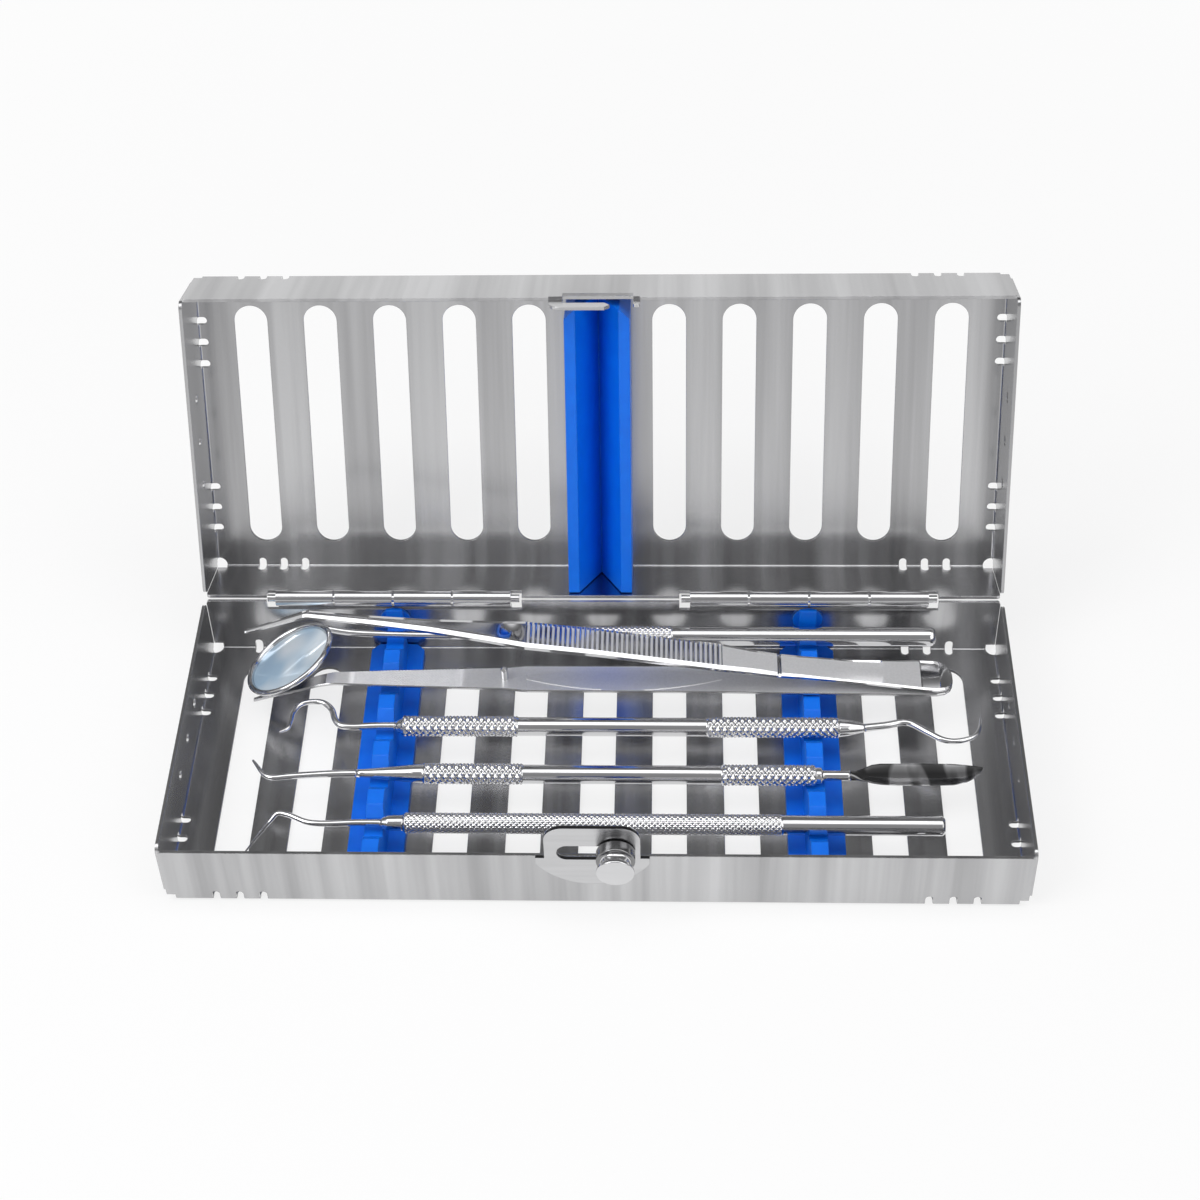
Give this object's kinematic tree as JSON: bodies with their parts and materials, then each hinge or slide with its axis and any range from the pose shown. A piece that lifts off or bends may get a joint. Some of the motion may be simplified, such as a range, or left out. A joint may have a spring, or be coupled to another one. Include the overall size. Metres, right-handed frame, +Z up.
{
  "type": "dental instrument cassette",
  "caption": "Perforated steel instrument cassette with a hinged lid, sliding latch and silicone rails, holding a mouth mirror, tweezers, scaler, carver and explorer.",
  "frame": {"origin": "middle of the base, on the plane its underside rests on", "axes": "+X to the right along the hinges' line, +Y to the rear where the hinges are, +Z up"},
  "size_m": [0.203, 0.1341, 0.0941],
  "materials": {
    "sheet_steel": "fine satin stainless steel sheet",
    "polished_steel": "polished stainless steel",
    "silicone": "satin blue silicone",
    "mirror_glass": "front-surface mirror"
  },
  "bodies": {
    "base": {"base_tray": "sheet_steel", "hinge_leaf_base_left": "polished_steel", "hinge_leaf_base_right": "polished_steel", "hinge_pin_left": "polished_steel", "hinge_pin_right": "polished_steel", "latch_plate": "polished_steel", "rail_left": "silicone", "rail_right": "silicone"},
    "lid": {"lid_tray": "sheet_steel", "hinge_leaf_lid_left": "polished_steel", "hinge_leaf_lid_right": "polished_steel", "lid_hook": "polished_steel", "lid_rail": "silicone"},
    "knob": {"latch_knob": "polished_steel", "latch_knob_head": "polished_steel"},
    "mirror": {"mirror_handle": "polished_steel", "mirror_shank": "polished_steel", "mirror_frame": "polished_steel", "mirror_glass": "mirror_glass"},
    "tweezers": {"tweezers_lower_arm": "polished_steel", "tweezers_guide_pin": "polished_steel"},
    "tweezers_top": {"tweezers_upper_arm": "polished_steel"},
    "scaler": {"scaler_handle": "polished_steel", "scaler_hook_left": "polished_steel", "scaler_hook_right": "polished_steel"},
    "carver": {"carver_handle": "polished_steel", "carver_tip": "polished_steel", "carver_blade": "polished_steel"},
    "explorer": {"explorer_handle": "polished_steel", "explorer_collar": "polished_steel", "explorer_shank": "polished_steel"}
  },
  "joints": [
    {"name": "lid_hinge", "type": "hinge", "parent": "base", "child": "lid", "pos_m": [0, 0.03985, 0.01885], "axis": [-1, 0, 0], "range_deg": [-111, 0]},
    {"name": "latch_slide", "type": "slide", "parent": "base", "child": "knob", "axis": [1, 0, 0], "range_m": [-0.0112, 0]},
    {"name": "tweezers_lift", "type": "slide", "parent": "base", "child": "tweezers", "axis": [0, 0, 1], "range_m": [0, 0.06]},
    {"name": "mirror_lift", "type": "slide", "parent": "base", "child": "mirror", "axis": [0, 0, 1], "range_m": [0, 0.06]},
    {"name": "tweezers_squeeze", "type": "hinge", "parent": "tweezers", "child": "tweezers_top", "pos_m": [0.084, 0.0181, 0.0139], "axis": [0, 1, 0], "range_deg": [-5.01, 0]},
    {"name": "scaler_lift", "type": "slide", "parent": "base", "child": "scaler", "axis": [0, 0, 1], "range_m": [0, 0.06]},
    {"name": "carver_lift", "type": "slide", "parent": "base", "child": "carver", "axis": [0, 0, 1], "range_m": [0, 0.06]},
    {"name": "explorer_lift", "type": "slide", "parent": "base", "child": "explorer", "axis": [0, 0, 1], "range_m": [0, 0.06]}
  ],
  "couplings": [
    {"joint": "mirror_lift", "follows": "tweezers_lift", "ratio": 1},
    {"joint": "tweezers_squeeze", "follows": "lid_hinge", "ratio": 0.045045}
  ]
}
